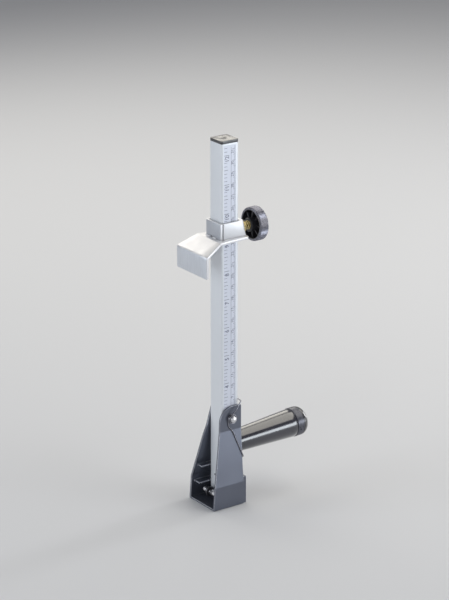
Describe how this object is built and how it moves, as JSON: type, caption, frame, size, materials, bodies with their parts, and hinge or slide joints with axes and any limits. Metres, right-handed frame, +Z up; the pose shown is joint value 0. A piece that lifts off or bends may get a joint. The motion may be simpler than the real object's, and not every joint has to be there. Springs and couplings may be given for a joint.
{
  "type": "carton scoring gauge",
  "caption": "Graduated square column with a lockable sliding edge hook, a sprung guard hinged over a scoring wheel, and a round side handle.",
  "frame": {"origin": "middle of the column, on the underside of the guard's floor, where the gauge stands", "axes": "+Z up along the column, +X along the hinge pin to the graduated side, +Y to the handle and the knob, -Y to the hook's lip and the guard's open mouth"},
  "size_m": [0.044, 0.1199, 0.3276],
  "materials": {
    "satin_column": "satin anodised, fine lines along the column",
    "scale_film": "thin printed film, slightly glossy",
    "black_cap": "moulded, glossy",
    "hook_sheet": "bright brushed sheet with rolled edges",
    "brass": "machined",
    "pad": "moulded nylon",
    "knob_plastic": "moulded, worn bright on the rim",
    "guard_plastic": "moulded, fine satin texture",
    "bright_steel": "zinc plated",
    "dark_steel": "blackened",
    "spring_steel": "drawn wire",
    "core_plastic": "moulded tube",
    "grip_vinyl": "dipped vinyl, glossy",
    "end_plastic": "moulded, satin band and glossy dome"
  },
  "bodies": {
    "column": {"column_tube": "satin_column", "scale_label": "scale_film", "top_cap": "black_cap", "pivot_pin": "bright_steel", "spring_bush": "bright_steel", "pivot_washer": "bright_steel", "retaining_clip": "dark_steel", "spring_coil": "spring_steel", "wheel_holder": "dark_steel", "holder_screws": "dark_steel", "wheel_axle": "bright_steel", "axle_sleeves": "bright_steel", "handle_block": "bright_steel", "handle_stud": "bright_steel", "handle_ferrule": "end_plastic", "handle_core": "core_plastic", "handle_grip": "grip_vinyl", "handle_end_cap": "end_plastic"},
    "guard": {"guard_housing": "guard_plastic", "spring_guard_leg": "spring_steel"},
    "hook": {"fence_plate": "hook_sheet", "fence_collar": "hook_sheet", "clamp_nut": "brass"},
    "pad": {"clamp_shoe": "pad"},
    "knob": {"clamp_screw": "brass", "knob_insert": "brass", "clamp_knob": "knob_plastic"},
    "wheel": {"score_wheel": "bright_steel"}
  },
  "joints": [
    {"name": "guard_swing", "type": "hinge", "parent": "column", "child": "guard", "pos_m": [0, 0, 0.079], "axis": [1, 0, 0], "range_deg": [0, 18], "stiffness_Nm_per_rad": 0.25, "springref_deg": -28.65},
    {"name": "hook_slide", "type": "slide", "parent": "column", "child": "hook", "axis": [0, 0, 1], "range_m": [-0.144, 0.064]},
    {"name": "pad_travel", "type": "slide", "parent": "hook", "child": "pad", "axis": [0, 1, 0], "range_m": [0, 0.001]},
    {"name": "knob_turn", "type": "hinge", "parent": "pad", "child": "knob", "pos_m": [0, 0.0315, 0.247], "axis": [0, 1, 0], "range_deg": [0, 360]},
    {"name": "wheel_spin", "type": "hinge", "parent": "column", "child": "wheel", "pos_m": [0, -0.0143, 0.01], "axis": [1, 0, 0], "continuous": true}
  ],
  "couplings": [
    {"joint": "pad_travel", "follows": "knob_turn", "m_per_rad": 0.00015915}
  ]
}
